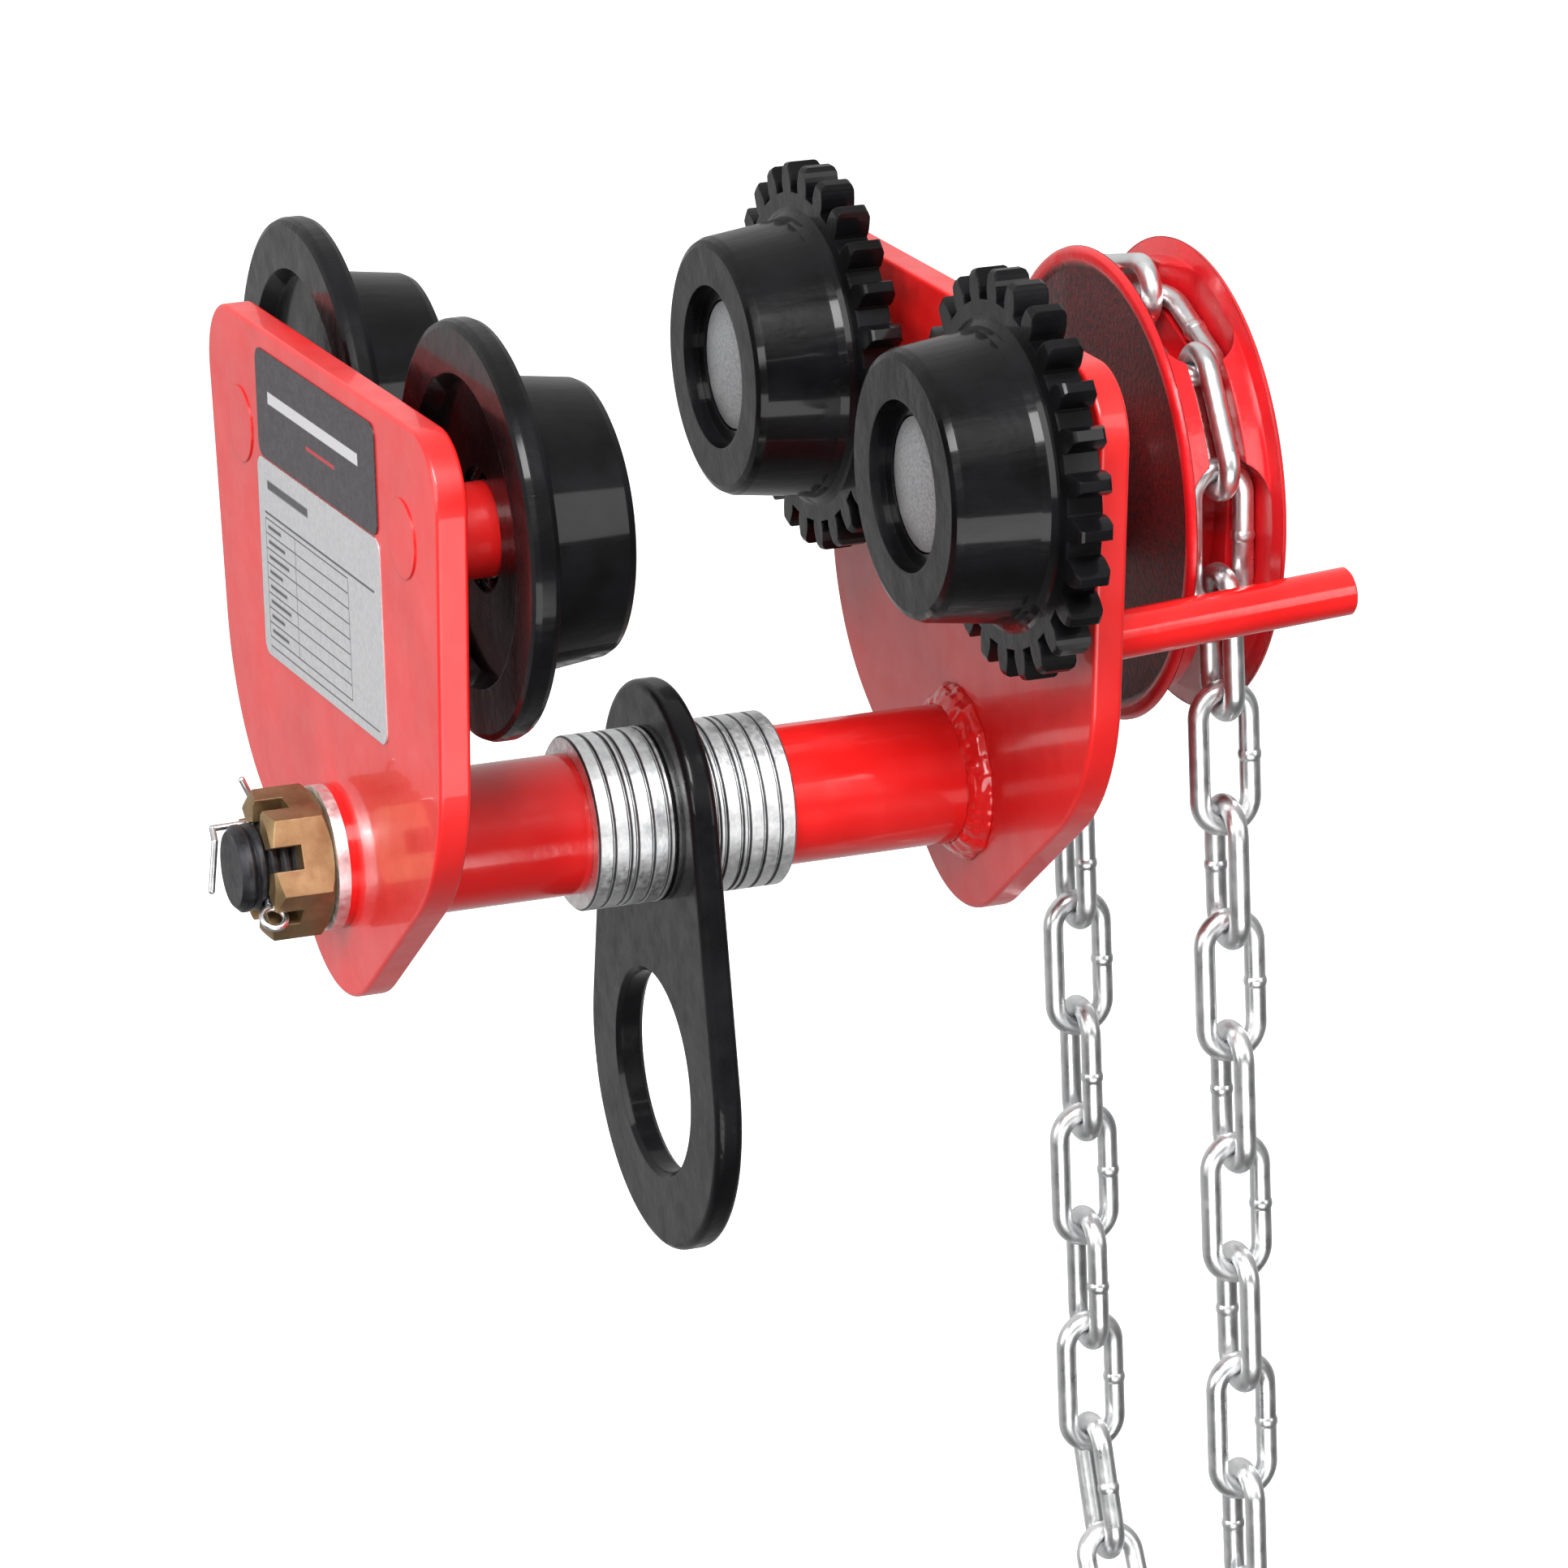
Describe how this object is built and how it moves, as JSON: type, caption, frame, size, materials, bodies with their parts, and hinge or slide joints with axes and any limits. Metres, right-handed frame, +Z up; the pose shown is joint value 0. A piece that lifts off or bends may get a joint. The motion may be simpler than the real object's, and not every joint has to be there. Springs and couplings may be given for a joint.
{
  "type": "geared beam trolley",
  "caption": "Beam trolley with two plain and two geared flanged wheels on side plates, a cross bolt with an eyed load plate, and a hand wheel with its chain.",
  "frame": {"origin": "centre of the load eye, in the middle of the load plate's thickness", "axes": "+X along the load bolt from the plain side to the hand wheel, +Y along the beam, +Z up"},
  "size_m": [0.2276, 0.1906, 0.365],
  "materials": {
    "red_paint": "gloss enamel over steel",
    "bearing_steel": "ground bearing steel",
    "spring_steel": "blued spring steel",
    "cap_grey": "satin grey, pressed",
    "wheel_steel": "satin black, tread turned",
    "zinc": "bright zinc plate, turned edges",
    "yellow_zinc": "dull yellow zinc",
    "chain_zinc": "bright zinc plate",
    "red_casting": "gloss enamel over rough casting",
    "machined_steel": "machined, oiled",
    "black_enamel": "gloss black enamel",
    "black_oxide": "oiled black oxide",
    "grey_label": "satin printed foil",
    "bronze": "machined bronze",
    "black_label": "satin printed foil"
  },
  "bodies": {
    "drive_side": {"right_side_plate": "red_paint", "right_spacer_tube": "red_paint", "right_tube_weld": "red_paint", "load_bolt": "black_oxide", "bolt_head_washer": "zinc", "castle_nut": "yellow_zinc", "nut_washer": "zinc", "cotter_pin": "zinc", "left_thick_washers": "zinc", "left_thin_washers": "zinc", "right_thick_washers": "zinc", "right_thin_washers": "zinc", "front_right_axle": "red_paint", "back_right_axle": "red_paint", "right_bearing_inner_races": "bearing_steel", "right_axle_circlips": "spring_steel", "shaft_boss": "red_paint", "shaft_bush": "bronze", "front_guide_rod": "red_paint", "back_guide_rod": "red_paint", "hand_chain": "chain_zinc"},
    "plain_side": {"left_side_plate": "red_paint", "left_spacer_tube": "red_paint", "left_tube_weld": "red_paint", "front_left_axle": "red_paint", "back_left_axle": "red_paint", "left_bearing_inner_races": "bearing_steel", "left_axle_circlips": "spring_steel", "upper_label": "black_label", "rating_label": "grey_label"},
    "load_plate": {"hanger_plate": "black_enamel"},
    "front_left_roller": {"front_left_wheel": "wheel_steel", "front_left_bearings": "bearing_steel", "front_left_bore_circlip": "spring_steel", "front_left_dust_cap": "cap_grey"},
    "back_left_roller": {"back_left_wheel": "wheel_steel", "back_left_bearings": "bearing_steel", "back_left_bore_circlip": "spring_steel", "back_left_dust_cap": "cap_grey"},
    "front_right_roller": {"front_right_geared_wheel": "wheel_steel", "front_right_bearings": "bearing_steel", "front_right_bore_circlip": "spring_steel", "front_right_dust_cap": "cap_grey"},
    "back_right_roller": {"back_right_geared_wheel": "wheel_steel", "back_right_bearings": "bearing_steel", "back_right_bore_circlip": "spring_steel", "back_right_dust_cap": "cap_grey"},
    "drive_shaft": {"hand_wheel": "red_casting", "pinion_shaft": "machined_steel", "hand_wheel_key": "machined_steel", "hand_wheel_washer": "zinc", "shaft_circlip": "spring_steel"}
  },
  "joints": [
    {"name": "plain_side_tilt", "type": "hinge", "parent": "drive_side", "child": "plain_side", "pos_m": [0, 0, 0.057], "axis": [1, 0, 0], "range_deg": [-5, 5]},
    {"name": "load_plate_swing", "type": "hinge", "parent": "drive_side", "child": "load_plate", "pos_m": [0, 0, 0.057], "axis": [1, 0, 0], "range_deg": [-90, 90]},
    {"name": "hand_wheel_spin", "type": "hinge", "parent": "drive_side", "child": "drive_shaft", "pos_m": [0, 0, 0.11599], "axis": [1, 0, 0], "continuous": true, "deforming": ["hand_chain"]},
    {"name": "front_left_wheel_spin", "type": "hinge", "parent": "plain_side", "child": "front_left_roller", "pos_m": [0, -0.05133, 0.13709], "axis": [1, 0, 0], "continuous": true},
    {"name": "back_left_wheel_spin", "type": "hinge", "parent": "plain_side", "child": "back_left_roller", "pos_m": [0, 0.05464, 0.13487], "axis": [1, 0, 0], "continuous": true},
    {"name": "front_right_wheel_spin", "type": "hinge", "parent": "drive_side", "child": "front_right_roller", "pos_m": [0, -0.053, 0.136], "axis": [1, 0, 0], "continuous": true},
    {"name": "back_right_wheel_spin", "type": "hinge", "parent": "drive_side", "child": "back_right_roller", "pos_m": [0, 0.053, 0.136], "axis": [1, 0, 0], "continuous": true}
  ],
  "couplings": [
    {"joint": "front_right_wheel_spin", "follows": "hand_wheel_spin", "ratio": -0.46154},
    {"joint": "back_right_wheel_spin", "follows": "hand_wheel_spin", "ratio": -0.46154}
  ]
}
